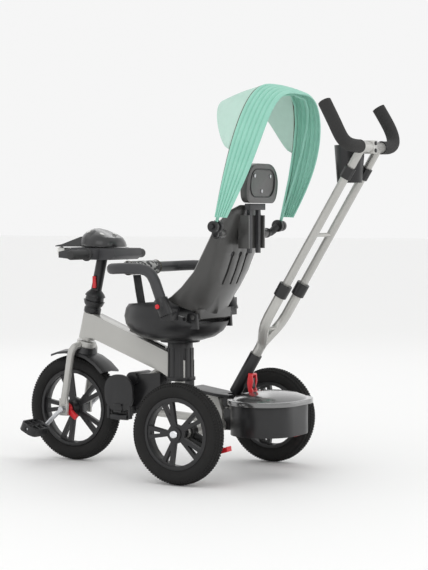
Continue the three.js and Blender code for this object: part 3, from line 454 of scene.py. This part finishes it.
# Canopy hood: one strip of mint polyester, sewn over the two hoops in narrow pleats.
# It is open at the rear and below. Its cut edges are bound, in dark tape in front, and it is
# stitched along each pleat.
HOOP_HALF = 0.172
HOOP_RISE = 0.362
PIVOT = (0.161904, 0.636)
HOOP_LEAN = (13, 22)
HOOP_FOOT = 0.024
REAR_FULLNESS = 0.02
PLEATS = 6
PLEAT_PUFF = 0.0042
HOOD_STEPS = (120, 60)


def hoop_point(turn, lean, grow=0.0):
    """A point at a turn from the left pivot over to the right, on a hoop that leans back in degrees."""
    c = math.cos(turn)
    s = abs(math.sin(turn))
    across = (HOOP_HALF + grow) * math.copysign(abs(c) ** 0.6, c)
    reach = HOOP_FOOT + (HOOP_RISE + grow - HOOP_FOOT) * s ** 0.8
    share = min(reach / HOOP_RISE, 1)
    back = max(lean - HOOP_LEAN[0], 0) / 9
    full = back * REAR_FULLNESS * (1 - reach / HOOP_RISE + math.sin(math.pi * share))
    tilt = math.radians(lean)
    return Vector((across, PIVOT[0] + reach * math.sin(tilt) + full, PIVOT[1] + reach * math.cos(tilt)))


mint = Finish("mint_cloth", (0.28, 0.58, 0.47), 0.82, Sheen_Weight=0.2)
weave = (mint.axis("X") * 5200).sine() * (mint.axis("Z") * 5200).sine()
mint.tint(mint.noise(22), (0.27, 0.59, 0.475), (0.35, 0.68, 0.56))
mint.bump(weave + 0.8 * mint.noise(60), 0.22, 0.0005)
binding = Finish("dark_binding", (0.11, 0.095, 0.07), 0.8)
binding.bump(binding.noise(900), 0.4, 0.0004)


def cloth_sheet(name, rows, finish, node, thick):
    """A cloth from rows of points, given its thickness and finish."""
    made = bmesh.new()
    grid = [[made.verts.new(p) for p in row] for row in rows]
    for a, b in zip(grid, grid[1:]):
        for i in range(len(a) - 1):
            made.faces.new((a[i], a[i + 1], b[i + 1], b[i]))
    bmesh.ops.recalc_face_normals(made, faces=made.faces)
    mesh = bpy.data.meshes.new(name)
    made.to_mesh(mesh)
    made.free()
    piece = taken_up(bpy.data.objects.new(name, mesh))
    wall = piece.modifiers.new("wall", "SOLIDIFY")
    wall.thickness = thick
    wall.offset = 0
    bpy.ops.object.modifier_apply(modifier=wall.name)
    bpy.ops.object.shade_smooth_by_angle(angle=math.radians(50))
    mesh.materials.append(finish.material)
    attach(piece, body_of[node])
    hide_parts(node)
    return piece


def edge_cord(name, points, radius, finish, body):
    """A bound edge or bead along points, in its finish, riding on a body."""
    bead = tube_along(name, points, radius, 3, "POLY")
    bpy.ops.object.shade_smooth()
    bead.data.materials.append(finish.material)
    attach(bead, body)


around, across = HOOD_STEPS
hood_rows = []
for j in range(across + 1):
    share = j / across
    lean = HOOP_LEAN[0] - 1 + (HOOP_LEAN[1] - HOOP_LEAN[0] + 2.5) * share
    puff = PLEAT_PUFF * abs(math.sin(math.pi * PLEATS * share)) - PLEAT_PUFF / 3
    hood_rows.append([hoop_point(math.pi * i / around, lean, 0.001 + puff) for i in range(around + 1)])
hood = cloth_sheet("canopy_hood", hood_rows, mint, "canopy_fabric", 0.0012)
edge_cord("hood_binding_front", hood_rows[0], 0.0022, binding, "canopy")
edge_cord("hood_binding_rear", hood_rows[-1], 0.0018, mint, "canopy")
for j in range(1, PLEATS):
    edge_cord(f"hood_seam_{j}", hood_rows[round(across * j / PLEATS)], 0.0009, mint, "canopy")

# Canopy visor: thinner mint cloth that lets light through, sewn to the hood's front edge.
# It is cut as a crescent, deepest at the middle, and falls a little towards its front.
VISOR_REACH = 0.108
VISOR_STEPS = (60, 24)
sheer = Finish("mint_visor", (0.56, 0.78, 0.69), 0.6)
sheer.set("Alpha", 0.72 + 0.12 * sheer.noise(50))
sheer.bump((sheer.axis("X") * 4200).sine() * (sheer.axis("Z") * 4200).sine(), 0.15, 0.0004)
around, across = VISOR_STEPS
visor_rows = []
for j in range(across + 1):
    share = j / across
    row = []
    for i in range(around + 1):
        turn = math.pi * (0.14 + 0.72 * i / around)
        swell = math.sin(math.pi * i / around) ** 0.7 if 0 < i < around else 0
        base = hoop_point(turn, HOOP_LEAN[0] - 1, 0.003 * math.sin(math.pi * share))
        run = VISOR_REACH * share * swell
        row.append(base + Vector((0, -0.0022 - run - 0.001 * share, -0.3 * run)))
    visor_rows.append(row)
visor = cloth_sheet("canopy_sun_visor", visor_rows, sheer, "canopy_visor", 0.0008)

# Canopy hoops: two spring steel bows that turn on a bare black hub at each side.
# Above the hubs they run in pockets sewn from the hood's cloth.
hoops = bpy.data.objects["canopy_frame_piece"]
hoops.data.materials.append(mint.material)
hub_top = PIVOT[1] + 0.03
for face in hoops.data.polygons:
    if face.center.z > hub_top:
        face.material_index = 1

# Screws and buttons: three steel screws hold the headrest shell to its stem, and two black bolts close
# the push handle's clamp. The console has four pale plastic push buttons on its screen.
REST_TILT = 0.07
CLAMP_REAR = 0.5195
screw_steel = Finish("screw_steel", (0.5, 0.5, 0.52), 0.3, Metallic=1.0)
screw_steel.set("Roughness", 0.26 + 0.15 * screw_steel.noise(300))
pale = Finish("pale_button", (0.7, 0.7, 0.68), 0.4)
pale.bump(pale.noise(300), 0.05, 0.0002)


def disc(name, place, out, radius, tall, finish, node):
    """A disc with rounded edges, centred on a place and facing out, riding with a CAD node."""
    bpy.ops.object.select_all(action="DESELECT")
    facing = out.to_track_quat("Z", "Y").to_euler()
    bpy.ops.mesh.primitive_cylinder_add(
        vertices=32, radius=radius, depth=tall, location=place, rotation=facing)
    made = bpy.context.object
    made.name = name
    bpy.ops.object.transform_apply(location=True, rotation=True, scale=True)
    bpy.ops.object.mode_set(mode="EDIT")
    bpy.ops.mesh.select_all(action="SELECT")
    bpy.ops.mesh.bevel(offset=min(radius, tall) * 0.2, segments=2)
    bpy.ops.object.mode_set(mode="OBJECT")
    bpy.ops.object.shade_smooth_by_angle(angle=math.radians(35))
    made.data.materials.append(finish.material)
    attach(made, body_of[node])


rest_mid = sum((Vector(c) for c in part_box("headrest")), Vector()) / 2
for number, (x, up) in enumerate(((0.04, 0.018), (-0.04, 0.018), (0.0, -0.02))):
    spot = Vector((x, rest_mid.y + 0.0075 + REST_TILT * up, rest_mid.z + up))
    out = Vector((0, 1, -REST_TILT))
    disc(f"headrest_screw_{number}", spot, out, 0.0048, 0.003, screw_steel, "headrest")
for number, up in enumerate((-0.009, 0.009)):
    spot = Vector((0, CLAMP_REAR, CLAMP_Z + up))
    disc(f"clamp_bolt_{number}", spot, Vector((0, 1, 0)), 0.005, 0.005, black, "handle_tubes")
dial = bpy.data.objects["console_dial_piece"]
for number, (x, y) in enumerate(((0.03, -0.27), (-0.03, -0.27), (0.034, -0.31), (-0.034, -0.31))):
    hit, spot, out, _ = dial.ray_cast(Vector((x, y, 1)), Vector((0, 0, -1)))
    if hit:
        disc(f"console_button_{number}", spot, out, 0.0065, 0.003, pale, "console_dial")

# Rings and trim: a black ring stops each foam horn at the clamp, a raised rim runs round the back of the
# headrest, and a black rubber strip is laid along the top of the main beam.
RIM_FLAT = (0.031, 0.005)
RIM_BEND = 0.03
STRIP_START = -0.2
STRIP_STEP = 0.006
STRIP_LOWEST = 0.22


def ring_at(centre, radius):
    """Points round a circle that faces along X, with the first again at the end."""
    turns = [2 * math.pi * k / 40 for k in range(41)]
    return [centre + Vector((0, radius * math.cos(turn), radius * math.sin(turn))) for turn in turns]


def squared(c, flat):
    """One coordinate of the rim's rounded rectangle: a straight half length, then the bend."""
    return math.copysign(flat, c) + RIM_BEND * c if abs(c) > 1e-6 else 0.0


for hand, x in (("left", 0.0612), ("right", -0.0612)):
    ring = ring_at(Vector((x, CLAMP_Y, CLAMP_Z)), 0.0145)
    edge_cord(f"clamp_ring_{hand}", ring, 0.0022, black, body_of["handle_tubes"])
rim = []
for k in range(65):
    turn = 2 * math.pi * k / 64
    up = squared(math.sin(turn), RIM_FLAT[1])
    rim.append(Vector((
        squared(math.cos(turn), RIM_FLAT[0]), rest_mid.y + 0.0092 + REST_TILT * up, rest_mid.z + up)))
edge_cord("headrest_rim", rim, 0.0016, black, body_of["headrest"])
beam = bpy.data.objects["frame_main_piece"]
strip = []
for k in range(19):
    above = Vector((0, STRIP_START + STRIP_STEP * k, 0.6))
    hit, spot, _, _ = beam.ray_cast(above, Vector((0, 0, -1)))
    if hit and spot.z > STRIP_LOWEST:
        strip.append(spot)
if len(strip) > 3:
    edge_cord("beam_strip", strip, 0.0036, rubber, body_of["frame_main"])

# Seat and back liners: quilted charcoal polyester over soft foam, laid loose in the shells.
# Each is sewn through in straight channels, so the cloth swells between them.
VOXEL = 0.005
SWELL_CAP = 0.003
CHANNEL_HALF = 0.004
CHANNEL_DEEP = 0.0028
quilt = Finish("quilted_cloth", (0.04, 0.04, 0.043), 0.86, Sheen_Weight=0.2)
quilt.tint(quilt.noise(35), (0.032, 0.032, 0.035), (0.058, 0.058, 0.062))
twill = (quilt.axis("X") * 4600).sine() * (quilt.axis("Y") * 4600).sine()
quilt.bump(twill + quilt.noise(80), 0.35, 0.0006)


def stuffed(node, channels, facing):
    """The node's solid as a stuffed pad: blown up as cloth, held to the cap, then sewn on the side it faces.

    Each channel is an axis and the place along it where the stitches run.
    """
    piece = plain_copy(node, node + "_liner")
    skin = piece.modifiers.new("skin", "REMESH")
    skin.mode = "VOXEL"
    skin.voxel_size = VOXEL
    bpy.ops.object.modifier_apply(modifier=skin.name)
    start = [v.co.copy() for v in piece.data.vertices]
    swell = piece.modifiers.new("swell", "CLOTH")
    swell.settings.use_pressure = True
    swell.settings.uniform_pressure_force = 4
    swell.settings.effector_weights.gravity = 0
    for step in range(1, 21):
        bpy.context.scene.frame_set(step)
    shaped = piece.evaluated_get(bpy.context.evaluated_depsgraph_get()).data
    moved = [v.co.copy() for v in shaped.vertices]
    piece.modifiers.remove(swell)
    bpy.context.scene.frame_set(1)
    for vertex, was, now in zip(piece.data.vertices, start, moved):
        shift = now - was
        if shift.length > SWELL_CAP:
            shift = shift.normalized() * SWELL_CAP
        vertex.co = was + shift
    for vertex in piece.data.vertices:
        groove = max(math.exp(-(((vertex.co[axis] - at) / CHANNEL_HALF) ** 2)) for axis, at in channels)
        if vertex.normal.dot(facing) > 0.3:
            vertex.co -= vertex.normal * CHANNEL_DEEP * groove
    smooth = piece.modifiers.new("smooth", "SUBSURF")
    smooth.levels = 1
    smooth.render_levels = 1
    bpy.ops.object.modifier_apply(modifier=smooth.name)
    bpy.ops.object.shade_smooth()
    piece.data.materials.clear()
    piece.data.materials.append(quilt.material)
    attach(piece, body_of[node])
    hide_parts(node)


stuffed("seat_pad", [(0, -0.06), (0, 0.0), (0, 0.06)], Vector((0, 0, 1)))
stuffed("back_pad", [(2, 0.49), (2, 0.54), (2, 0.585)], Vector((0, -1, 0)))

# Safety bar sleeve: thin foam in cloth printed in black and white, wrapped round the cross piece.
# Its two ends are bound in dark tape.
printed = Finish("printed_cloth", (0.1, 0.1, 0.1), 0.85, Sheen_Weight=0.2)
printed.tint(printed.cells(95).above(0.56), (0.02, 0.02, 0.021), (0.45, 0.45, 0.44))
printed.bump(printed.noise(160), 0.4, 0.0006)
sleeve = finished("bar_sleeve", printed, edge=0.0015)
sleeve_low, sleeve_high = (Vector(c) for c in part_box("bar_sleeve"))
sleeve_mid = (sleeve_low + sleeve_high) / 2
sleeve_radius = (sleeve_high.z - sleeve_low.z) / 2
for name, x in (("left", sleeve_high.x - 0.003), ("right", sleeve_low.x + 0.003)):
    ring = ring_at(Vector((x, sleeve_mid.y, sleeve_mid.z)), sleeve_radius)
    edge_cord(f"sleeve_binding_{name}", ring, 0.0014, binding, "safety_bar")

# Crotch strap: flat woven polypropylene webbing, sewn to the sleeve.
# It hangs from the cross piece down to the seat.
webbing = Finish("strap_webbing", (0.05, 0.05, 0.052), 0.8)
webbing.bump((webbing.axis("Z") * 2600).sine() + (webbing.axis("X") * 2600).sine(), 0.5, 0.0006)
finished("crotch_strap", webbing, edge=0.0005)
